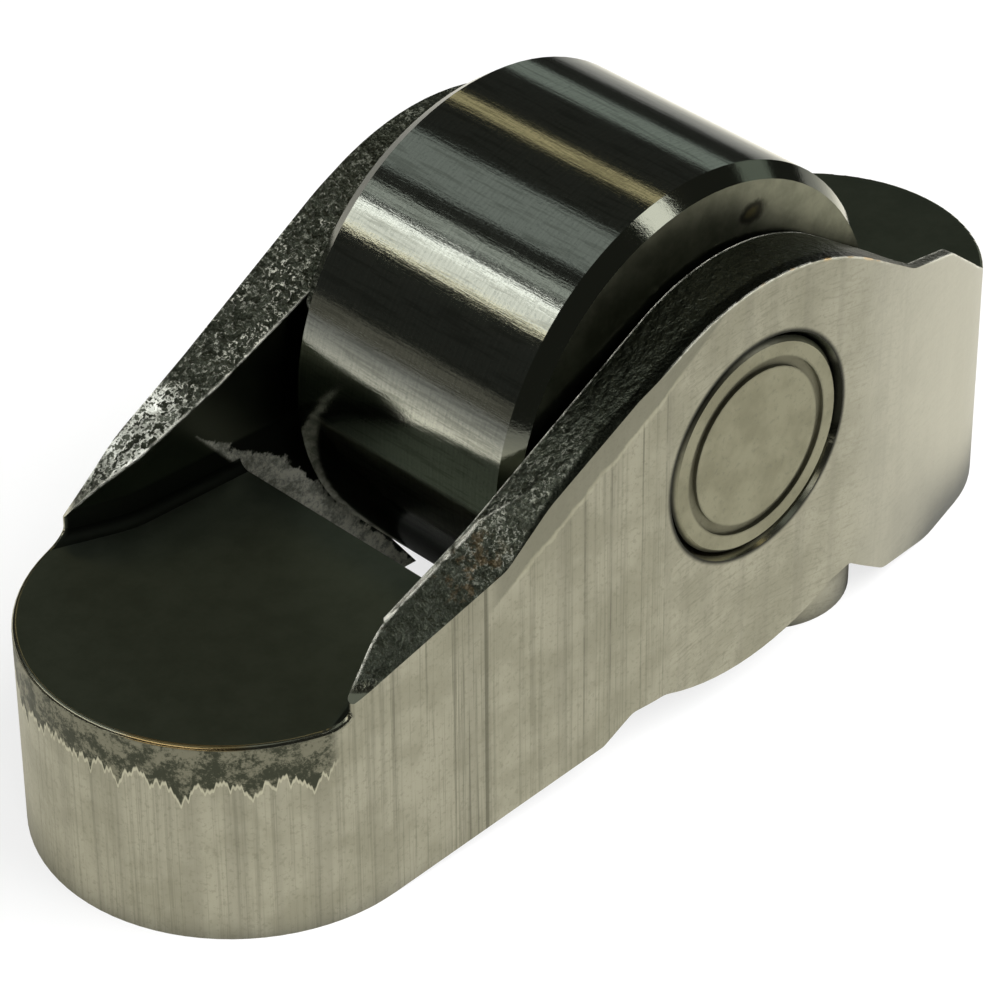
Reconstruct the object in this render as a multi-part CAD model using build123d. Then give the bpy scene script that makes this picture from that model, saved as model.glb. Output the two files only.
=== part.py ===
from build123d import *
import os
from math import cos, pi, radians, sin, sqrt, tan

os.makedirs("parts", exist_ok=True)

# Roller finger follower: a one-piece steel arm with a round pivot end, two upright cheeks
# and a narrower valve end. A wide roller turns between the cheeks on a staked axle pin
# and a full set of needle rollers.
#
# Lengths in millimetres. X runs along the arm from the pivot end to the valve end,
# Y along the axle, Z up. Everything is drawn from the axle centre and moved at the end,
# so that the origin is under the middle of the arm on the plane that it stands on.

# ---------------------------------------------------------------- roller and its bearing
roller_r = 9.0            # running surface
roller_width = 10.8       # over the two side faces
bevel_axial = 0.6         # outer bevel of the roller, along the axle
bevel_radial = 0.45       # the same bevel, towards the axle
race_bevel = 0.25         # bevel at each mouth of the roller's bore
axle_r = 4.0
axle_recess = 0.06        # each axle end lies this much below the cheek
axle_bevel = 0.16
stake_r = 3.12            # middle of the staking ring pressed into each axle end
stake_width = 0.34
stake_depth = 0.14
needle_count = 19
needle_play = 0.07        # between one needle and the next
needle_end_gap = 0.3      # between a needle's end and the cheek
running_gap = 0.02        # oil film on the axle and in the roller's bore, on the radius

# ---------------------------------------------------------------- arm, seen from above
side_gap = 0.2            # between the roller's side face and the cheek
cheek_wall = 2.6          # thickness of a cheek at the roller
cheek_fore = 4.5          # where the cheeks begin to draw in, ahead of the axle
cheek_aft = 4.0           # and behind it
pivot_x = 16.4            # axle to the centre of the pivot end
pivot_end_r = 7.25
valve_x = 12.05           # axle to the centre of the valve end
valve_end_r = 6.0
window_fore_gap = 1.75    # pivot pad to roller
window_aft_gap = 1.4      # valve pad to roller
channel_start = 3.0       # ahead of the axle, where the cheeks begin to thin towards the pivot end
flare_back = 0.8          # behind the pivot end centre, where they flare out and run off that end
flare_y = 6.1             # half the channel's width there
flare_angle = 21.0
flare_blend = 4.0
pocket_x = 8.2            # behind the axle, where the pocket over the valve pad opens out
pocket_angle = 45.0
pocket_wall = 0.45        # thin wall left beside the valve pad
pocket_blend = 0.5        # upright corner where the pocket opens
pad_blend = 0.4           # inside corner between a pad and the cheeks
pivot_rim_r = 0.16        # rounded rim of each pad, round the end of the arm
valve_rim_r = 0.1

# ---------------------------------------------------------------- arm, seen from the side
axle_height = 10.45       # axle above the plane that the arm stands on
# The upper edge of a cheek leans inward: its outer line stands higher than its inner line.
edge_spill = 0.3          # both lines are drawn this far beside the cheek's faces
outer_crest_x = 0.3
outer_crest_z = 6.52      # top of the outer line above the axle
outer_crest_r = 9.6
outer_ramp_angle = 25.8   # fall towards the pivot end
inner_crest_x = 0.8
inner_crest_z = 6.22
inner_crest_r = 8.0
inner_ramp_angle = 26.0
inner_bend = (-11.5, 1.1)  # the inner line falls more gently from here to the knee
knee_back = 1.4           # behind the pivot end centre, where both lines bend down to the foot
inner_knee_z = -0.15
inner_foot_z = -0.25
outer_foot_z = -3.8
knee_blend = 2.5
foot_ahead = 2.0          # ahead of the pivot end centre
foot_run = 1.4            # the cheek runs out into the pad's rim over this length
flank_angle = 34.0        # fall towards the valve end
shelf_x = 9.0             # start of the gentler shelf beside the valve pad
shelf_length = 3.1
shelf_angle = 19.0
shelf_blend = 2.5
shelf_end_blend = 0.9
tail_angle = 38.5
# The -Y cheek has a slanted facet torn off its outer corner, ahead of the roller.
facet_x = 11.3            # deepest place
facet_lean = 26.6         # falls outward
facet_slope = 21.8        # falls towards the pivot end
facet_z = 1.27            # height at the deepest place, at the cheek's thinned inner face
facet_rise = 44.0         # climbs back towards the roller
facet_rise_run = 1.8
facet_exit = 34.5
facet_blend = 1.2
facet_exit_blend = 3.0
pivot_pad_drop = 2.5      # pivot pad below the axle
valve_pad_drop = 1.7      # valve pad below the axle

# Lower edge of the cheeks: distances from the axle and heights above the standing plane
rise_ahead = 0.2          # ahead of the pivot end centre, where the edge leaves the standing plane
step_x = 7.1
step_low = 1.5
step_high = 2.3
step_run = 1.3
step_flat = 1.5
belly_low = 1.6           # bulge under the axle
belly_x = 0.8
notch_x = 5.1             # top of the notch near the valve end
notch_high = 2.93
notch_flat = 1.0
notch_fall = 0.12
heel_back = 4.35          # behind the valve end centre
heel_high = 1.0
heel_end_back = 0.75      # the edge is back on the standing plane

# Lips that hang from the inner half of each cheek down to the standing plane
lip_root = 1.6            # how far a lip runs up into the cheek above its lower edge
fore_lip_wall = 1.0
far_lip_end = 2.9         # ahead of the axle, measured at the bottom, under the +Y cheek
near_lip_end = 5.6        # the same under the -Y cheek, where the lip is broken off short
fore_lip_slope = 36.0     # lean of its end from upright
aft_lip_r = 3.3           # round lip near the notch
aft_lip_x = 5.25
aft_lip_wall = 1.35

# Underside of the two ends
socket_ball_r = 6.0       # ball head of the lash adjuster
socket_mouth_r = 5.85
valve_guide = 6.6         # between the two guide walls
valve_pad_wall = 4.3      # metal over the valve tip
valve_foot_wall = 1.15    # the foot beside the valve tip is drawn in by this from the outside
valve_pad_crown = 16.0    # crown of the valve tip pad, about Y
boss_inset = 0.35         # round boss of the socket, inside the pivot end's wall
bore_bevel = 0.22         # opening of the axle bore at the outer face, on the radius
bore_bevel_depth = 0.45

# ---------------------------------------------------------------- derived values
cheek_in = roller_width / 2 + side_gap
cheek_out = cheek_in + cheek_wall
window_fore = roller_r + window_fore_gap
window_aft = roller_r + window_aft_gap
flare_x = pivot_x - flare_back
knee_x = pivot_x - knee_back
foot_x = pivot_x + foot_ahead
rise_x = pivot_x + rise_ahead
heel_x = valve_x - heel_back
heel_end = valve_x - heel_end_back
tip_x = pivot_x + pivot_end_r
tail_x = valve_x + valve_end_r
base_z = -axle_height
beyond = 3.0              # how far a cutting shape runs past the metal
hair = 0.001              # edges this close to a height are taken to lie at it
rim_reach = 1.0           # the middle of a rim's edge lies this close to the end of the arm
sine = sin(pi / needle_count)
needle_r = ((axle_r + running_gap) * 2 * sine - needle_play) / (2 - 2 * sine)
needle_pitch_r = axle_r + running_gap + needle_r
race_r = needle_pitch_r + needle_r + running_gap
needle_length = 2 * (cheek_in - needle_end_gap)


def plan(shrink):
    """Outline of the arm from above: a tight band round four circles, drawn in by shrink."""
    rounds = [
        (-pivot_x, pivot_end_r),
        (-cheek_fore, cheek_out),
        (cheek_aft, cheek_out),
        (valve_x, valve_end_r),
    ]
    edges = [(Pos(x, 0) * Circle(r - shrink)).edge() for x, r in rounds]
    return make_hull(edges)


def prism(face, low, high):
    return Pos(0, 0, low) * extrude(face, high - low)


def block(x0, x1, half_y, z0, z1):
    return Pos((x0 + x1) / 2, 0, (z0 + z1) / 2) * Box(x1 - x0, 2 * half_y, z1 - z0)


def drum(radius, length):
    return Rot(90, 0, 0) * Cylinder(radius, length)


def soften(flat, point, radius):
    """Round the corner of a flat face that lies nearest to a point."""
    corner = flat.vertices().sort_by_distance(Vector(point[0], point[1], 0))[0]
    return fillet(corner, radius)


def slab(flat, half_y):
    """A slab across Y, both ways from the middle, from a face drawn as X against Z."""
    return extrude(Plane.XZ * flat, half_y, both=True)


# ---------------------------------------------------------------- upper edge of the cheeks
top_z = outer_crest_z + beyond


def over_edge(crest_x, crest_z, crest_r, ramp_angle, bend, knee_z, foot_z):
    """The space above one line of a cheek's upper edge, as a face in X against Z."""
    ramp = radians(ramp_angle)
    flank = radians(flank_angle)
    ramp_top = (crest_x - crest_r * sin(ramp), crest_z - crest_r * (1 - cos(ramp)))
    flank_top = (crest_x + crest_r * sin(flank), crest_z - crest_r * (1 - cos(flank)))
    shelf_start = (shelf_x, flank_top[1] - (shelf_x - flank_top[0]) * tan(flank))
    shelf_end = (shelf_x + shelf_length, shelf_start[1] - shelf_length * tan(radians(shelf_angle)))
    tail_run = (shelf_end[1] + valve_pad_drop) / tan(radians(tail_angle))
    tail_foot = (shelf_end[0] + tail_run, -valve_pad_drop)
    knee = (-knee_x, knee_z)
    foot = (-foot_x, foot_z)
    rim = (-foot_x - foot_run, -pivot_pad_drop)
    front = (-tip_x - beyond, -pivot_pad_drop)
    back = (tail_x + beyond, -valve_pad_drop)
    over = make_face(
        [
            Line(front, rim),
            Line(rim, foot),
            Line(foot, knee),
            Line(knee, bend),
            Line(bend, ramp_top),
            ThreePointArc(ramp_top, (crest_x, crest_z), flank_top),
            Line(flank_top, shelf_start),
            Line(shelf_start, shelf_end),
            Line(shelf_end, tail_foot),
            Line(tail_foot, back),
            Line(back, (back[0], top_z)),
            Line((back[0], top_z), (front[0], top_z)),
            Line((front[0], top_z), front),
        ]
    )
    over = soften(over, knee, knee_blend)
    over = soften(over, shelf_start, shelf_blend)
    over = soften(over, shelf_end, shelf_end_blend)
    return over


outer_ramp = radians(outer_ramp_angle)
outer_ramp_top = (
    outer_crest_x - outer_crest_r * sin(outer_ramp),
    outer_crest_z - outer_crest_r * (1 - cos(outer_ramp)),
)
outer_bend = (inner_bend[0], outer_ramp_top[1] - (outer_ramp_top[0] - inner_bend[0]) * tan(outer_ramp))
outer_knee_z = outer_ramp_top[1] - (outer_ramp_top[0] + knee_x) * tan(outer_ramp)
over_inner = over_edge(
    inner_crest_x, inner_crest_z, inner_crest_r, inner_ramp_angle, inner_bend, inner_knee_z, inner_foot_z
)
over_outer = over_edge(
    outer_crest_x, outer_crest_z, outer_crest_r, outer_ramp_angle, outer_bend, outer_knee_z, outer_foot_z
)


def over_cheek(sign):
    """All that is above one cheek: a ruled solid between its inner and its outer line."""
    near = Pos(0, sign * (cheek_in - edge_spill), 0) * (Plane.XZ * over_inner)
    far = Pos(0, sign * (cheek_out + edge_spill), 0) * (Plane.XZ * over_outer)
    return loft([near, far], ruled=True)


# ---------------------------------------------------------------- lower edge of the cheeks
step_start = (-step_x, base_z + step_low)
step_end = (-step_x + step_run, base_z + step_high)
belly_start = (-step_x + step_run + step_flat, base_z + step_high)
belly_end = (notch_x - notch_flat, base_z + notch_high - notch_fall)
belly_middle = (-belly_x, base_z + belly_low)
notch_top = (notch_x, base_z + notch_high)
heel = (heel_x, base_z + heel_high)

side = make_face(
    [
        Line((-tip_x - beyond, base_z), (-rise_x, base_z)),
        Line((-rise_x, base_z), step_start),
        Line(step_start, step_end),
        Line(step_end, belly_start),
        ThreePointArc(belly_start, belly_middle, belly_end),
        Line(belly_end, notch_top),
        Line(notch_top, heel),
        Line(heel, (heel_end, base_z)),
        Line((heel_end, base_z), (tail_x + beyond, base_z)),
        Line((tail_x + beyond, base_z), (tail_x + beyond, top_z)),
        Line((tail_x + beyond, top_z), (-tip_x - beyond, top_z)),
        Line((-tip_x - beyond, top_z), (-tip_x - beyond, base_z)),
    ]
)
for corner, radius in [
    ((-rise_x, base_z), 8.0),
    (step_start, 0.6),
    (step_end, 0.7),
    (belly_start, 1.2),
    (belly_end, 1.2),
    (notch_top, 0.45),
    (heel, 1.8),
    ((heel_end, base_z), 4.0),
]:
    side = soften(side, corner, radius)

# ---------------------------------------------------------------- arm
arm = prism(plan(0), base_z, outer_crest_z) & slab(side, cheek_out + beyond)

# feet and lips under the cheeks, down to the standing plane
lip_top = base_z + step_high + lip_root
boss = Pos(-pivot_x, 0, (base_z + lip_top) / 2) * Cylinder(pivot_end_r - boss_inset, lip_top - base_z)
lip_lean = (lip_top - base_z) * tan(radians(fore_lip_slope))
lip_half_run = (cheek_in + fore_lip_wall) / 2
arm = arm + boss
for sign, lip_end in [(-1, near_lip_end), (1, far_lip_end)]:
    fore_lip = make_face(
        Polyline(
            (-pivot_x, base_z),
            (-lip_end, base_z),
            (-lip_end - lip_lean, lip_top),
            (-pivot_x, lip_top),
            close=True,
        )
    )
    arm = arm + Pos(0, sign * lip_half_run, 0) * slab(fore_lip, lip_half_run)
    centre_y = sign * (cheek_in + aft_lip_wall - aft_lip_r)
    arm = arm + Pos(aft_lip_x, centre_y, (base_z + lip_top) / 2) * Cylinder(aft_lip_r, lip_top - base_z)
arm = arm + block(window_aft, valve_x, valve_end_r - valve_foot_wall, base_z, lip_top)

# slanted facet along the outer corner of the -Y cheek
lean = radians(facet_lean)
facet_low = (-facet_x, facet_z)
facet_up = (-facet_x + facet_rise_run, facet_z + facet_rise_run * tan(radians(facet_rise)))
facet_front = (-tip_x - beyond, facet_z - (tip_x + beyond - facet_x) * tan(radians(facet_slope)))
facet_top = top_z + beyond
facet_out = (facet_up[0] + (facet_top - facet_up[1]) / tan(radians(facet_exit)), facet_top)
facet = make_face(
    Polyline(facet_front, facet_low, facet_up, facet_out, (facet_front[0], facet_top), close=True)
)
facet = soften(facet, facet_low, facet_blend)
facet = soften(facet, facet_up, facet_exit_blend)
facet_run = cheek_out + beyond - flare_y
facet_cut = extrude(Plane.XZ * facet, facet_run, dir=(0, -cos(lean), -sin(lean)))
facet_cut = Pos(0, -flare_y, 0) * facet_cut

# channels over the two pads: their side walls thin the cheeks towards both ends
flare_end_x = tip_x + beyond
flare_end_y = flare_y + (flare_end_x - flare_x) * tan(radians(flare_angle))
pivot_channel_plan = make_face(
    Polyline(
        (-flare_end_x, -flare_end_y),
        (-flare_x, -flare_y),
        (-channel_start, -cheek_in),
        (0, -cheek_in),
        (0, cheek_in),
        (-channel_start, cheek_in),
        (-flare_x, flare_y),
        (-flare_end_x, flare_end_y),
        close=True,
    )
)
for corner in [(-flare_x, -flare_y), (-flare_x, flare_y)]:
    pivot_channel_plan = soften(pivot_channel_plan, corner, flare_blend)
pocket_open = pocket_x + cheek_wall / tan(radians(pocket_angle))
pocket_plan = make_face(
    Polyline(
        (0, -cheek_in),
        (pocket_x, -cheek_in),
        (pocket_open, -cheek_out),
        (tail_x + beyond, -cheek_out),
        (tail_x + beyond, cheek_out),
        (pocket_open, cheek_out),
        (pocket_x, cheek_in),
        (0, cheek_in),
        close=True,
    )
)
for corner in [(pocket_x, -cheek_in), (pocket_x, cheek_in)]:
    pocket_plan = soften(pocket_plan, corner, pocket_blend)
valve_channel_plan = pocket_plan & plan(pocket_wall)


def channel(flat, floor_z):
    """Cutter for a channel with its lower edges rounded."""
    cutter = prism(flat, floor_z, top_z)
    return fillet(cutter.faces().sort_by(Axis.Z)[0].edges(), pad_blend)


arm = arm - over_cheek(-1) - over_cheek(1) - slab(over_inner, cheek_in) - facet_cut
arm = arm - channel(pivot_channel_plan, -pivot_pad_drop)
arm = arm - channel(valve_channel_plan, -valve_pad_drop)
arm = arm - block(-window_fore, window_aft, cheek_in, base_z - beyond, top_z)
fore_window = prism(pivot_channel_plan, base_z - beyond, top_z)
arm = arm - (fore_window & block(-window_fore, 0, cheek_out, base_z - beyond, top_z))

# socket for the lash adjuster's ball head
socket_centre = base_z - sqrt(socket_ball_r**2 - socket_mouth_r**2)
arm = arm - Pos(-pivot_x, 0, socket_centre) * Sphere(socket_ball_r)

# slot between the guide walls, with a crowned pad for the valve tip
pad_low = -valve_pad_drop - valve_pad_wall
slot = block(window_aft - beyond, tail_x + beyond, valve_guide / 2, base_z - beyond, pad_low + 1)
crown = Pos(valve_x, 0, pad_low + valve_pad_crown) * drum(valve_pad_crown, valve_guide + 2 * beyond)
arm = arm - (slot - crown)

# bores for the axle, opened out at the outer faces
arm = arm - drum(axle_r, 2 * (cheek_out + beyond))
for sign in (-1, 1):
    cone = Cone(axle_r, axle_r + bore_bevel, bore_bevel_depth)
    arm = arm - Pos(0, sign * (cheek_out - bore_bevel_depth / 2), 0) * Rot(-90 * sign, 0, 0) * cone

# rounded rims of the two pads
def rim(pad_z, end_x):
    """Edges of a pad that run round an end of the arm: their middles lie close to that end."""
    level = arm.edges().filter_by_position(Axis.Z, pad_z - hair, pad_z + hair)
    return level.filter_by_position(Axis.X, end_x - rim_reach, end_x + rim_reach)


arm = fillet(rim(-pivot_pad_drop, -tip_x), pivot_rim_r)
arm = fillet(rim(-valve_pad_drop, tail_x), valve_rim_r)

# ---------------------------------------------------------------- axle pin
axle_half = cheek_out - axle_recess
axle_pin = drum(axle_r, 2 * axle_half)
axle_pin = chamfer(axle_pin.edges().filter_by(GeomType.CIRCLE), axle_bevel)
for sign in (-1, 1):
    ring = Cylinder(stake_r + stake_width / 2, stake_depth) - Cylinder(stake_r - stake_width / 2, stake_depth)
    axle_pin = axle_pin - Pos(0, sign * (axle_half - stake_depth / 2), 0) * Rot(90, 0, 0) * ring

# ---------------------------------------------------------------- roller
half = roller_width / 2
roller_section = make_face(
    Polyline(
        (race_r + race_bevel, half),
        (roller_r - bevel_radial, half),
        (roller_r, half - bevel_axial),
        (roller_r, -half + bevel_axial),
        (roller_r - bevel_radial, -half),
        (race_r + race_bevel, -half),
        (race_r, -half + race_bevel),
        (race_r, half - race_bevel),
        close=True,
    )
)
roller = revolve(roller_section, Axis.Y, 360)

# ---------------------------------------------------------------- needles
needle = drum(needle_r, needle_length)

# ---------------------------------------------------------------- put out
home = Pos((tip_x - tail_x) / 2, 0, axle_height)
export_step(home * arm, "parts/arm_body.step")
export_step(home * axle_pin, "parts/axle_pin.step")
export_step(home * roller, "parts/roller.step")
for number in range(needle_count):
    turn = 2 * pi * number / needle_count
    place = Pos(needle_pitch_r * cos(turn), 0, needle_pitch_r * sin(turn))
    export_step(home * place * needle, f"parts/needle_{number + 1:02d}.step")
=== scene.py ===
from math import cos, pi, radians, sin, tan

import bpy
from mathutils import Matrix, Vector


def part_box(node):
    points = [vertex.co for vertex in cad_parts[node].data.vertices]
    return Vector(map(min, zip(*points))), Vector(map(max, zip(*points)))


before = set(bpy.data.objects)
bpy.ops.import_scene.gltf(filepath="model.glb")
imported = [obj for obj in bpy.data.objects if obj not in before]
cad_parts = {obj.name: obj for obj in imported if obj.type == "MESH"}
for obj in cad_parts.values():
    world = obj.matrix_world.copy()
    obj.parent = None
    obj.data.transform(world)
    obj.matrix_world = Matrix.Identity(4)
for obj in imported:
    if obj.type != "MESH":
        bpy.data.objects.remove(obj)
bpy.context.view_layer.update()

bpy.ops.object.select_all(action="DESELECT")

# ---------------------------------------------------------------- arm
# The arm is one piece of case-hardened steel, blanked, drawn and ironed in a press. Its sides
# show upright draw lines, its pads are smooth and dark, and its trimmed upper edges are torn.

AXLE = (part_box("roller")[0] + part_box("roller")[1]) / 2  # middle of the axle
MM = 1000.0  # the finishes are laid out in millimetres from the middle of the axle
PIVOT_X, VALVE_X = -16.4, 12.05  # middles of the arm's two round ends
PIVOT_R = 7.25

# what stands on the sides: each is its place along the arm, its half width and its soft edge
GROOVE = (-12.2, 0.03, 0.06)
SCRATCHES = (
    (-8.0, 0.01, 0.05),
    (-6.85, 0.01, 0.03),
    (-6.6, 0.0, 0.03),
    (-5.5, 0.01, 0.03),
    (-4.45, 0.01, 0.04),
)
SKIN_SLOPE = 0.687  # the draw lines end at a line that rises this fast towards the valve end
EDGE_REACH, CREST_REACH = 0.14, 0.13  # how far the painted edge highlight reaches in from an edge
RELIEF = 0.16  # depth of the torn metal
BORE_FROM, BORE_TO = 4.24, 4.42  # painted shade in the gap round the axle


class Finish:
    """A surface finish, built up from shader nodes."""

    def __init__(self, name, metallic=1.0):
        self.material = bpy.data.materials.new(name)
        self.material.use_nodes = True
        self.tree = self.material.node_tree
        self.shader = self.tree.nodes["Principled BSDF"]
        self.shader.inputs["Metallic"].default_value = metallic
        coordinates = self.node("ShaderNodeTexCoord").outputs
        self.place = self.mapped(coordinates["Object"], -AXLE * MM, (MM, MM, MM))
        self.x, self.y, self.z = self.split(self.place)
        self.nx, self.ny, self.nz = self.split(coordinates["Normal"])

    def node(self, kind):
        return self.tree.nodes.new(kind)

    def put(self, value, socket):
        """Links a socket, or sets the constant, into the socket given."""
        if isinstance(value, bpy.types.NodeSocket):
            self.tree.links.new(value, socket)
        elif socket.type == "RGBA":
            socket.default_value = (*value, 1.0)
        else:
            socket.default_value = value

    def split(self, vector):
        node = self.node("ShaderNodeSeparateXYZ")
        self.put(vector, node.inputs[0])
        return node.outputs[0], node.outputs[1], node.outputs[2]

    def joined(self, x, y, z):
        node = self.node("ShaderNodeCombineXYZ")
        for value, socket in zip((x, y, z), node.inputs):
            self.put(value, socket)
        return node.outputs[0]

    def mapped(self, vector, location=(0, 0, 0), scale=(1, 1, 1)):
        node = self.node("ShaderNodeMapping")
        self.put(vector, node.inputs["Vector"])
        node.inputs["Location"].default_value = location
        node.inputs["Scale"].default_value = scale
        return node.outputs[0]

    def maths(self, operation, first, *others):
        """One operation, taken in turn over all the values."""
        for other in others or (0.0,):
            node = self.node("ShaderNodeMath")
            node.operation = operation
            self.put(first, node.inputs[0])
            self.put(other, node.inputs[1])
            first = node.outputs[0]
        return first

    def add(self, *values):
        return self.maths("ADD", *values)

    def times(self, *values):
        return self.maths("MULTIPLY", *values)

    def most(self, *values):
        return self.maths("MAXIMUM", *values)

    def least(self, *values):
        return self.maths("MINIMUM", *values)

    def minus(self, first, second):
        return self.maths("SUBTRACT", first, second)

    def rest(self, mask):
        return self.minus(1.0, mask)

    def size(self, value):
        return self.maths("ABSOLUTE", value)

    def distance(self, first, second):
        return self.maths("SQRT", self.add(self.times(first, first), self.times(second, second)))

    def line(self, at_axle, slope):
        """A straight line along the arm, from its value at the axle."""
        return self.add(self.times(self.x, slope), at_axle)

    def rise(self, value, start, end, shape="SMOOTHSTEP"):
        """0 below start and 1 above end. start may be above end, to fall instead."""
        node = self.node("ShaderNodeMapRange")
        node.interpolation_type = shape
        self.put(value, node.inputs["Value"])
        node.inputs["From Min"].default_value = min(start, end)
        node.inputs["From Max"].default_value = max(start, end)
        node.inputs["To Min"].default_value = 0.0 if start < end else 1.0
        node.inputs["To Max"].default_value = 1.0 if start < end else 0.0
        return node.outputs[0]

    def band(self, value, middle, half, soft):
        """1 within half of the middle, falling to 0 over the soft width beyond."""
        return self.rise(self.size(self.minus(value, middle)), half + soft, half)

    def noise(self, vector, scale, detail=2.0, roughness=0.5):
        node = self.node("ShaderNodeTexNoise")
        self.put(vector, node.inputs["Vector"])
        node.inputs["Scale"].default_value = scale
        node.inputs["Detail"].default_value = detail
        node.inputs["Roughness"].default_value = roughness
        return node.outputs[0]

    def mix(self, kind, amount, values, sockets, output):
        node = self.node("ShaderNodeMix")
        node.data_type = kind
        self.put(amount, node.inputs[0])
        for value, socket in zip(values, sockets):
            self.put(value, node.inputs[socket])
        return node.outputs[output]

    def blend(self, amount, first, second):
        """first where amount is 0 and second where it is 1, for numbers."""
        return self.mix("FLOAT", amount, (first, second), (2, 3), 0)

    def tint(self, amount, first, second):
        """first where amount is 0 and second where it is 1, for colours."""
        return self.mix("RGBA", amount, (first, second), (6, 7), 2)

    def coats(self, colour, *coats):
        """Each coat is a mask, and the colour laid over what is below it."""
        for mask, coat in coats:
            colour = self.tint(mask, colour, coat)
        return colour

    def edge(self, reach):
        """1 on an edge and 0 away from it."""
        bevel = self.node("ShaderNodeBevel")
        bevel.samples = 2
        self.put(self.times(reach, 1 / MM), bevel.inputs["Radius"])
        agree = self.node("ShaderNodeVectorMath")
        agree.operation = "DOT_PRODUCT"
        self.put(bevel.outputs[0], agree.inputs[0])
        self.put(self.node("ShaderNodeNewGeometry").outputs["Normal"], agree.inputs[1])
        return self.rise(agree.outputs["Value"], 0.995, 0.95)

    def bump(self, height, depth):
        """Relief of a given depth in millimetres."""
        node = self.node("ShaderNodeBump")
        self.put(height, node.inputs["Height"])
        node.inputs["Distance"].default_value = depth / MM
        self.put(node.outputs[0], self.shader.inputs["Normal"])

    def finish(self, colour, roughness):
        self.put(colour, self.shader.inputs["Base Color"])
        self.put(roughness, self.shader.inputs["Roughness"])


def give(node_name, finish):
    """Assigns a finish to a CAD node."""
    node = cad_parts[node_name]
    node.data.materials.clear()
    node.data.materials.append(finish.material)


# Masks by the way a face looks. outward is above 0 on faces that look away from the arm's
# middle line and below 0 on those inside. near is the -Y half.
arm = Finish("drawn steel")
along = arm.least(arm.most(arm.x, PIVOT_X), VALVE_X)
outward = arm.add(arm.times(arm.minus(arm.x, along), arm.nx), arm.times(arm.y, arm.ny))
near = arm.rise(arm.y, 0.2, -0.2)
upright = arm.rise(arm.size(arm.nz), 0.5, 0.3)
upward = arm.rise(arm.nz, 0.2, 0.4)
outside = arm.times(upright, arm.rise(outward, 0.0, 0.6))
inward = arm.rise(outward, 0.0, -0.6)

# masks by place: the pads and their rim, the corner at the foot of the walls, the torn upper
# edges, and the crest over the axle
low_enough = arm.rise(arm.z, -1.3, -1.6)
pad = arm.times(arm.rise(arm.nz, 0.93, 0.99), low_enough)
rim = arm.times(upward, low_enough, arm.rise(outward, 0.0, 0.6))
half_width = arm.size(arm.y)
wall_foot = arm.most(arm.line(5.03, -0.0397), arm.line(-0.34, -0.384))
# the corner at the foot of the walls, darkened below with painted shade
corner = arm.times(
    arm.most(
        arm.rise(outward, -0.02, -0.14),
        arm.rise(arm.minus(half_width, wall_foot), 0.0, 0.15),
    ),
    arm.rise(arm.z, -1.25, -1.45),
    arm.rise(outward, 0.3, 0.0),
)
torn = arm.times(upward, arm.rest(pad), arm.rest(corner), arm.rest(rim))
radial = arm.distance(arm.x, arm.z)
crest = arm.times(
    arm.rise(arm.x, -5.0, -3.6),
    arm.rise(arm.x, 7.4, 6.4),
    arm.rise(half_width, 6.9, 7.4),
    arm.rise(arm.z, 1.0, 2.0),
    arm.rise(radial, 5.0, 5.3),
)
edge = arm.edge(arm.blend(crest, EDGE_REACH, CREST_REACH))

# sides: upright draw lines, crowded ahead of one deep groove, over a satin surface
lines_place = arm.mapped(arm.place, scale=(1.0, 1.0, 0.01))
fine = arm.noise(lines_place, 5.0, 4.0, 0.8)
wide = arm.noise(lines_place, 1.1, 3.0, 0.6)
crowded = arm.band(arm.x, -14.2, 1.7, 0.6)
above_skin = arm.minus(arm.z, arm.times(arm.x, SKIN_SLOPE))
smooth_top = arm.times(arm.rise(above_skin, 7.3, 7.5), arm.rise(arm.x, -12.4, -11.4), near)
scratches = arm.add(*(arm.band(arm.x, *scratch) for scratch in SCRATCHES))
lines = arm.times(
    arm.rise(arm.x, -4.2, -4.5),
    arm.rest(smooth_top),
    arm.add(
        arm.times(arm.rise(fine, 0.52, 0.36), arm.blend(crowded, 0.42, 0.85)),
        arm.times(arm.band(arm.x, *GROOVE), near, 1.3),
        arm.times(scratches, near, arm.rise(arm.noise(arm.place, 0.7, 3.0, 0.6), 0.3, 0.6), 0.55),
    ),
)
# behind them, fine brushing that sweeps down towards the valve end
sweep = arm.add(arm.least(arm.x, 8.0), 1.5)
sweep = arm.add(arm.z, arm.times(sweep, -0.115), arm.times(sweep, sweep, 0.0285))
brushed = arm.joined(arm.times(arm.x, 0.12), arm.times(arm.y, 0.12), sweep)
brushed = arm.rise(arm.noise(brushed, 9.0, 4.0, 0.8), 0.50, 0.36)
# a painted highlight: a light line on the edge where the drawn skin ends
skin_edge = arm.add(above_skin, arm.times(arm.noise(arm.place, 1.0, 3.0, 0.6), 0.8))
skin_edge = arm.times(arm.band(skin_edge, 7.75, 0.02, 0.16), arm.band(arm.x, -7.4, 3.2, 0.8), near)
grain = arm.noise(arm.place, 6.0, 3.0, 0.7)
cloud = arm.noise(arm.place, 0.45, 3.0, 0.6)
side_colour = arm.coats(
    arm.tint(arm.rise(cloud, 0.35, 0.65), (0.305, 0.30, 0.243), (0.39, 0.383, 0.32)),
    (arm.times(arm.rise(wide, 0.52, 0.36), 0.35), (0.24, 0.235, 0.195)),
    (arm.times(arm.rise(grain, 0.48, 0.34), 0.35), (0.20, 0.20, 0.155)),
    (arm.times(arm.least(lines, 1.0), 0.7), (0.10, 0.10, 0.075)),
    (arm.times(brushed, arm.rise(arm.x, -4.8, -3.4), 0.35), (0.17, 0.17, 0.13)),
    (arm.times(smooth_top, 0.7), (0.18, 0.18, 0.145)),
    (arm.times(skin_edge, 0.3), (0.55, 0.54, 0.43)),
    # painted light: the sides grow lighter towards the valve end, where more light falls on them
    (arm.times(arm.rise(arm.x, 1.0, 15.0), 0.75), (0.60, 0.595, 0.54)),
)

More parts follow.
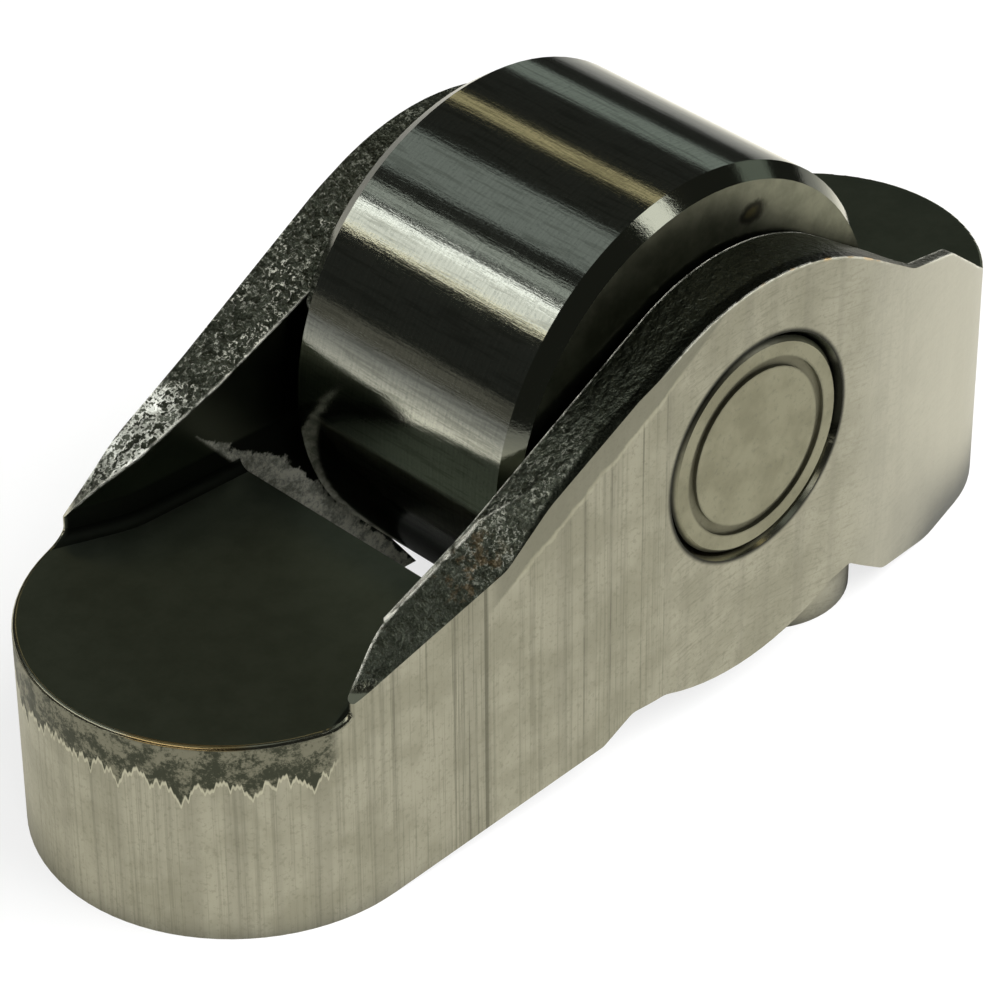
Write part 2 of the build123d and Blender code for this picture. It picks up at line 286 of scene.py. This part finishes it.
# below the pivot end's rim the sheared skin has broken away in a dark, ragged band, with the
# deepest pits low in it and a light line along its lower edge
around = arm.maths("ARCTAN2", arm.y, arm.minus(PIVOT_X, arm.x))
ragged = arm.noise(arm.joined(arm.times(around, PIVOT_R), 0.0, 0.0), 0.55, 4.0, 0.75)
band_low = arm.add(-1.4, arm.times(ragged, -5.4), arm.times(arm.rise(around, 0.5, 1.1), 1.2))
above_low = arm.minus(arm.z, band_low)
band_reach = arm.times(outside, arm.rise(around, -1.34, -1.26), arm.rise(around, 1.05, 0.75))
broken = arm.times(band_reach, arm.rise(above_low, -0.04, 0.04))
broken_edge = arm.times(band_reach, arm.band(above_low, -0.10, 0.03, 0.07))
pits = arm.add(arm.noise(arm.place, 1.7, 2.0, 0.5), arm.noise(arm.place, 7.0, 3.0, 0.8))
pits = arm.times(pits, 0.5)
raised = arm.rise(arm.add(pits, arm.times(above_low, 0.05)), 0.47, 0.62)
side_colour = arm.coats(
    side_colour,
    (broken, arm.tint(raised, (0.055, 0.06, 0.045), (0.215, 0.213, 0.168))),
    (arm.times(broken_edge, 0.55), (0.60, 0.59, 0.48)),
)

# pads: smooth, dark, faintly mottled
mottle = arm.noise(arm.place, 0.9, 4.0, 0.7)
pad_colour = arm.tint(arm.rise(mottle, 0.3, 0.7), (0.145, 0.168, 0.134), (0.178, 0.203, 0.163))

# torn upper edges: dark fracture with painted glints, bright highlights on its wrinkles and
# specks, most of them on the foot of the +Y cheek, and a little rust brown on the -Y one
wrinkle = arm.noise(arm.place, 2.9, 3.0, 0.65)
speck = arm.noise(arm.place, 6.0, 3.0, 0.75)
patch = arm.rise(arm.noise(arm.place, 0.8, 2.0, 0.5), 0.42, 0.6)
far_foot = arm.times(arm.rest(near), arm.band(arm.x, -14.8, 1.3, 1.5), arm.blend(patch, 0.65, 1.0))
creases = arm.minus(arm.size(arm.minus(wrinkle, 0.5)), arm.times(far_foot, 0.035))
creases = arm.rise(creases, 0.045, 0.01)
near_patch = arm.times(arm.band(arm.x, -9.6, 1.6, 2.2), arm.blend(patch, 0.45, 0.9))
crinkled = arm.most(arm.blend(near, arm.blend(patch, 0.3, 0.8), near_patch), far_foot)
glints = arm.most(
    arm.times(creases, arm.most(arm.rise(speck, 0.44, 0.56), far_foot), crinkled),
    arm.times(arm.rise(speck, 0.60, 0.68), arm.blend(crinkled, 0.25, 1.0)),
)
rust = arm.rise(arm.noise(arm.place, 1.8, 3.0, 0.6), 0.5, 0.62)
rust = arm.times(near, arm.band(arm.x, -12.2, 0.7, 0.8), rust)
# painted shade: a dark line along the outer edge of the -Y torn band
outer_line = arm.rise(arm.add(half_width, arm.times(wrinkle, 0.3)), 7.72, 7.88)
outer_line = arm.times(near, outer_line)
torn_colour = arm.coats(
    arm.tint(arm.rise(wrinkle, 0.35, 0.6), (0.095, 0.105, 0.08), (0.17, 0.185, 0.147)),
    (arm.times(glints, arm.blend(near, 0.9, 0.38)), (0.88, 0.88, 0.76)),
    (arm.times(glints, far_foot), (0.95, 0.97, 0.90)),
    (arm.times(rust, 0.6), (0.25, 0.17, 0.09)),
    (
        arm.times(arm.rise(arm.x, -5.5, -3.5), 0.85),
        arm.tint(speck, (0.08, 0.085, 0.065), (0.16, 0.17, 0.13)),
    ),
    # painted shade along the outer edge
    (outer_line, (0.03, 0.033, 0.025)),
)

# the walls inside, with painted shade in the corner at their foot and a rough patch where the
# window was pierced; the patch and the fore wall facing the axle are lightened with painted light
tear = arm.noise(arm.place, 1.8, 3.0, 0.7)
pierced_top = arm.least(arm.line(-9.1, -0.68), arm.line(-14.34, -1.28))
fore_wall = arm.times(arm.rise(arm.nx, 0.3, 0.6), arm.rise(arm.x, -4.0, -5.0))
pierced_lit = arm.times(
    arm.most(inward, fore_wall),
    arm.rest(upward),
    arm.rise(arm.add(pierced_top, arm.times(arm.z, -1.0), arm.times(tear, -1.4)), -0.85, -0.65),
    arm.rise(arm.add(arm.z, arm.times(arm.x, 1.18)), -15.4, -15.1),
    arm.rise(arm.x, -2.0, -3.0),
)
inner_colour = arm.coats(
    arm.tint(corner, (0.12, 0.135, 0.10), (0.06, 0.067, 0.053)),
    (pierced_lit, arm.tint(arm.rise(pits, 0.4, 0.6), (0.30, 0.31, 0.25), (0.80, 0.80, 0.68))),
    (arm.times(fore_wall, 0.8), (0.75, 0.75, 0.64)),
)

# painted shade in the gap round the axle, a shaded lip in the notch, and painted highlights on
# edges
gap_shade = arm.times(arm.rise(radial, BORE_TO, BORE_FROM), outside)
shaded_lip = arm.times(
    outside,
    arm.rise(half_width, 7.6, 7.3),
    arm.band(arm.x, 4.9, 2.3, 0.2),
    arm.rise(arm.z, -9.5, -8.6),
)
inner_edges = arm.times(arm.rise(half_width, 7.0, 6.6), arm.rise(arm.z, -1.7, -1.3))
# painted highlight: a bright line along the edges, as if rounded and lit
edge_highlight = arm.times(
    edge,
    arm.rise(arm.noise(arm.place, 2.2, 3.0, 0.6), 0.3, 0.5),
    arm.most(inner_edges, arm.times(crest, near), far_foot),
    arm.rest(corner),
    arm.rest(gap_shade),
)
# painted amber glints along the crest's highlight
amber_glint = arm.times(arm.rise(arm.noise(arm.place, 0.9, 1.0, 0.5), 0.5, 0.57), crest)
# the rim's own grey, with an orange painted glint on one stretch of it
rim_colour_and_glint = arm.tint(arm.band(around, -0.62, 0.2, 0.15), (0.42, 0.41, 0.32), (0.48, 0.35, 0.17))
colour = arm.coats(
    arm.tint(outside, inner_colour, side_colour),
    (torn, torn_colour),
    (pad, pad_colour),
    # painted shade in the corner at the foot of the +Y wall
    (arm.times(corner, arm.rest(near), arm.rise(arm.nz, 0.03, 0.15)), (0.03, 0.034, 0.027)),
    (rim, rim_colour_and_glint),
    # painted shade in the gap round the axle
    (gap_shade, (0.02, 0.021, 0.016)),
    (arm.times(shaded_lip, 0.85), (0.03, 0.03, 0.02)),
    (arm.times(edge_highlight, 0.85), arm.tint(amber_glint, (0.80, 0.80, 0.70), (0.85, 0.55, 0.22))),
)
roughness = arm.blend(outside, 0.32, arm.blend(cloud, 0.36, 0.46))
for mask, value in (
    (broken, 0.5),
    (torn, arm.blend(glints, 0.38, 0.25)),
    (pad, arm.blend(mottle, 0.46, 0.54)),
    (arm.most(corner, pierced_lit), 0.6),
    (rim, 0.2),
):
    roughness = arm.blend(mask, roughness, value)
relief = arm.blend(torn, arm.times(outside, 0.14), arm.blend(near, 1.8, 1.1))
arm.bump(arm.times(wrinkle, relief), RELIEF)
# torn metal and the edges with a painted highlight scatter light, where the smooth metal mirrors
# it
torn_scatter = arm.most(
    arm.times(glints, arm.blend(near, 0.7, 0.38)),
    arm.times(far_foot, 0.3, arm.rise(wrinkle, 0.3, 0.6)),
)
scatter = arm.most(
    arm.times(pierced_lit, arm.blend(arm.rise(arm.x, -10.5, -7.5), 0.12, 0.45)),
    arm.times(edge_highlight, 0.7),
    arm.times(torn, torn_scatter, arm.rest(outer_line)),
)
arm.put(arm.rest(scatter), arm.shader.inputs["Metallic"])
arm.finish(colour, roughness)
give("arm_body", arm)

# ---------------------------------------------------------------- axle pin
# The axle is a ground pin of hardened steel. It is pressed through both cheeks, and a ring
# staked into each of its ends keeps it from turning or sliding out.

STAKE_R = 3.12  # middle of the ring that the staking tool pressed in
# painted shade at the pin's rim, in the gap round it
PIN_RIM_FROM, PIN_RIM_TO = 3.86, 3.98

pin = Finish("staked pin steel")
pin_grain = pin.noise(pin.place, 5.0, 4.0, 0.7)
pin_cloud = pin.noise(pin.place, 0.7, 3.0, 0.6)
pin_radius = pin.distance(pin.x, pin.z)
stake = pin.band(pin_radius, STAKE_R, 0.16, 0.1)
pin_colour = pin.coats(
    pin.tint(pin.rise(pin_cloud, 0.35, 0.65), (0.225, 0.22, 0.16), (0.285, 0.28, 0.21)),
    (pin.times(pin.rise(pin_grain, 0.46, 0.34), 0.35), (0.15, 0.15, 0.115)),
    (pin.times(stake, 0.35), (0.20, 0.195, 0.15)),
    # painted shade at the pin's rim
    (pin.rise(pin_radius, PIN_RIM_FROM, PIN_RIM_TO), (0.05, 0.05, 0.04)),
)
pin.finish(pin_colour, pin.blend(stake, pin.blend(pin_grain, 0.36, 0.46), 0.65))
pin.bump(pin_grain, 0.012)
give("axle_pin", pin)

# ---------------------------------------------------------------- roller
# The roller is a through-hardened bearing ring that the cam runs on. Its running surface is
# ground and superfinished, and its plain faces are ground, with a bevel round each rim.

STAIN_X, STAIN_Z = 2.43, 6.96  # a small oval stain on the -Y face
STAIN_FLAT = 1.6  # how much wider than high it is

roller = Finish("ground bearing steel")
grinding = roller.joined(roller.distance(roller.x, roller.z), roller.times(roller.y, 9.0), 0.0)
grinding = roller.noise(grinding, 1.0, 4.0, 0.65)
streak = (roller.times(roller.x, 5.0), roller.times(roller.y, 0.35), roller.times(roller.z, 5.0))
streak = roller.noise(roller.joined(*streak), 1.0, 3.0, 0.7)
frost = roller.noise(roller.place, 9.0, 3.0, 0.75)
smear = roller.noise(roller.place, 1.2, 3.0, 0.6)
sideways = roller.size(roller.ny)
face = roller.rise(sideways, 0.85, 0.97)
bevel = roller.times(roller.rise(sideways, 0.2, 0.4), roller.rest(face))
ground_colour = roller.coats(
    roller.tint(roller.rise(grinding, 0.3, 0.7), (0.43, 0.445, 0.40), (0.52, 0.535, 0.48)),
    (roller.times(roller.rise(streak, 0.52, 0.36), 0.5), (0.24, 0.25, 0.215)),
    (roller.times(roller.rise(frost, 0.48, 0.32), 0.4), (0.22, 0.24, 0.22)),
)
stain_away = roller.distance(
    roller.minus(roller.x, STAIN_X),
    roller.times(roller.minus(roller.z, STAIN_Z), STAIN_FLAT),
)
stain_away = roller.add(
    stain_away, roller.times(roller.noise(roller.place, 2.0, 3.0, 0.6), 0.7), -0.35
)
stain = roller.times(face, roller.rise(roller.y, 0.0, -1.0), roller.rise(stain_away, 0.85, 0.45))
stain_colour = roller.tint(
    roller.rise(stain_away, 0.1, 0.45), (0.09, 0.08, 0.035), (0.03, 0.03, 0.02)
)
face_colour = roller.tint(
    roller.rise(smear, 0.3, 0.7), (0.15, 0.155, 0.115), (0.22, 0.225, 0.17)
)
# painted shade: the +Y bevel is darker than the -Y one
bevel_colour = roller.tint(
    roller.rise(roller.y, -1.0, 1.0), (0.30, 0.31, 0.25), (0.12, 0.125, 0.10)
)
roller.finish(
    roller.coats(
        ground_colour,
        (face, roller.tint(stain, face_colour, stain_colour)),
        (bevel, bevel_colour),
    ),
    roller.blend(face, roller.blend(grinding, 0.05, 0.11), roller.blend(smear, 0.3, 0.4)),
)
roller.bump(roller.add(frost, roller.times(streak, 1.5)), 0.002)
give("roller", roller)

# ---------------------------------------------------------------- needles
# Nineteen loose needles of polished bearing steel fill the space between the axle and the
# roller's bore. The cheeks hold them in endways.

needle = Finish("polished needle steel")
needle_grain = needle.noise(needle.place, 3.0, 2.0, 0.5)
needle.finish(
    needle.tint(needle_grain, (0.36, 0.36, 0.31), (0.44, 0.44, 0.38)),
    needle.blend(needle_grain, 0.15, 0.25),
)
needle.bump(needle_grain, 0.002)
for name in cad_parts:
    if name.startswith("needle"):
        give(name, needle)

# ---------------------------------------------------------------- floor
# A white sheet of paper on a table. It is white to the camera and in the metal's reflections,
# and keeps the part's shadow. In a reflection its glow is painted light: it dims away from the
# part, as under close lamps, and a painted shadow leaves it dark right under the part.

SHEET_SIZE = 1.6
GLOW_SHARE = 0.75
WHITE_WITHIN = 45.0  # the sheet is white this far from the part, and then its painted light falls off
FALL = 2.2
UNDER_FROM, UNDER_TO = 6.5, 8.2  # the edge of the painted shadow under the part, from the arm's middle line

bpy.ops.mesh.primitive_plane_add(size=SHEET_SIZE, location=(0, 0, 0))
floor = bpy.context.active_object
floor.name = "floor"
paper = Finish("white paper", metallic=0.0)
paper.finish((0.95, 0.95, 0.94), 0.8)
ray = paper.node("ShaderNodeLightPath").outputs
to_camera = ray["Is Camera Ray"]
seen = paper.most(to_camera, ray["Is Glossy Ray"], ray["Is Transmission Ray"])
away = paper.distance(paper.add(paper.x, AXLE.x * MM), paper.y)
near_part = paper.least(
    paper.maths("POWER", paper.maths("DIVIDE", WHITE_WITHIN, away), FALL), 1.0
)
beside = paper.least(paper.most(paper.x, PIVOT_X), VALVE_X)
beside = paper.distance(paper.minus(paper.x, beside), paper.y)
lit = paper.times(near_part, paper.rise(beside, UNDER_FROM, UNDER_TO, "LINEAR"))
glow = paper.node("ShaderNodeEmission")
paper.put(paper.most(lit, to_camera), glow.inputs["Strength"])
paper.put(paper.tint(to_camera, (1.0, 0.95, 0.78), (1.0, 1.0, 1.0)), glow.inputs["Color"])
sheet = paper.node("ShaderNodeMixShader")
paper.put(paper.times(seen, GLOW_SHARE), sheet.inputs[0])
paper.put(paper.shader.outputs[0], sheet.inputs[1])
paper.put(glow.outputs[0], sheet.inputs[2])
paper.put(sheet.outputs[0], paper.tree.nodes["Material Output"].inputs["Surface"])
floor.data.materials.append(paper.material)

# ---------------------------------------------------------------- light
# A dim room. Long soft lamps hang parallel to the axle, each at its own angle round it, counted
# from +X over the top. They stand back along +Y, away from the camera, so that the roller
# shows them.

ROOM_GLOW = 0.026
STRIP_DISTANCE, STRIP_LENGTH = 0.32, 0.6
STRIP_BACK = STRIP_DISTANCE * tan(radians(35.5)) - 0.05
GLINT_DISTANCE = 0.6

world = bpy.data.worlds.new("dim room")
bpy.context.scene.world = world
world.use_nodes = True
room = world.node_tree.nodes["Background"].inputs
room["Color"].default_value = (0.94, 1.0, 0.88, 1.0)
room["Strength"].default_value = ROOM_GLOW


def hang(name, size, radiance, location, turned, colour=(1.0, 1.0, 1.0), mirrored=True):
    """A soft lamp. The smooth metal does not show it where mirrored is False."""
    light = bpy.data.lights.new(name, "AREA")
    light.shape = "RECTANGLE"
    light.size, light.size_y = size
    light.energy = radiance * pi * light.size * light.size_y
    light.color = colour
    lamp = bpy.data.objects.new(name, light)
    bpy.context.collection.objects.link(lamp)
    lamp.location = location
    lamp.rotation_euler = turned
    lamp.visible_glossy = mirrored


def facing(towards):
    return Vector(towards).to_track_quat("Z", "Y").to_euler()


# name, angle, width as an angle, radiance, colour
for name, angle, spread, radiance, colour in (
    ("low strip", 22.0, 14.0, 0.25, (0.86, 1.0, 0.92)),
    ("warm strip", 60.8, 6.0, 0.52, (1.0, 0.86, 0.48)),
    ("overhead bank", 97.0, 22.0, 0.25, (0.90, 1.0, 0.96)),
    ("rear bank", 119.7, 6.0, 0.46, (0.93, 1.0, 0.94)),
    ("rear tube", 127.5, 3.0, 2.1, (0.98, 1.0, 0.98)),
    ("rear panel", 133.4, 9.2, 1.2, (0.99, 1.0, 0.94)),
    ("rear edge", 138.9, 1.8, 1.7, (1.0, 0.93, 0.70)),
    ("fore strip", 177.0, 9.0, 0.10, (1.0, 0.95, 0.78)),
):
    turn = radians(angle)
    offset = Vector((STRIP_DISTANCE * cos(turn), STRIP_BACK, STRIP_DISTANCE * sin(turn)))
    size = (STRIP_DISTANCE * radians(spread), STRIP_LENGTH)
    hang(name, size, radiance, AXLE + offset, (0, radians(90) - turn, 0), colour)

# a key lamp, and a fill lamp by the camera for the torn metal
for name, width, radiance, location in (
    ("key", 0.5, 8.0, (0.20, -0.34, 0.50)),
    ("fill", 0.3, 6.0, (-0.30, -0.35, 0.385)),
):
    hang(name, (width, width), radiance, location, facing(location), mirrored=False)

# two small lamps in front, which show in the roller's bevel and along the cheek's crest
for name, width, radiance, towards in (
    ("bevel glint", 0.13, 1.8, (0.32, -0.48, 0.81)),
    ("crest glint", 0.15, 3.0, (0.56, -0.62, 0.45)),
):
    location = AXLE + GLINT_DISTANCE * Vector(towards)
    hang(name, (width, width), radiance, location, facing(towards))

# ---------------------------------------------------------------- camera
# A long lens close by looks down on the pivot end and along the -Y cheek. It is turned a
# little about its own axis.

AZIMUTH, ELEVATION, ROLL = radians(-44.30), radians(35.70), radians(-0.34)
DISTANCE = 0.15741
AIM = Vector((-0.0013, 0.0, 0.00617))

camera_data = bpy.data.cameras.new("camera")
camera_data.sensor_width = 36.0
camera_data.lens = 163.8
camera_data.clip_start = 0.01
camera = bpy.data.objects.new("camera", camera_data)
bpy.context.collection.objects.link(camera)
camera.location = AIM + DISTANCE * Vector(
    (sin(AZIMUTH) * cos(ELEVATION), -cos(AZIMUTH) * cos(ELEVATION), sin(ELEVATION))
)
camera.rotation_euler = (radians(90) - ELEVATION, 0, AZIMUTH)
camera.rotation_euler.rotate_axis("Z", ROLL)
bpy.context.scene.camera = camera
bpy.context.scene.view_settings.view_transform = "Standard"
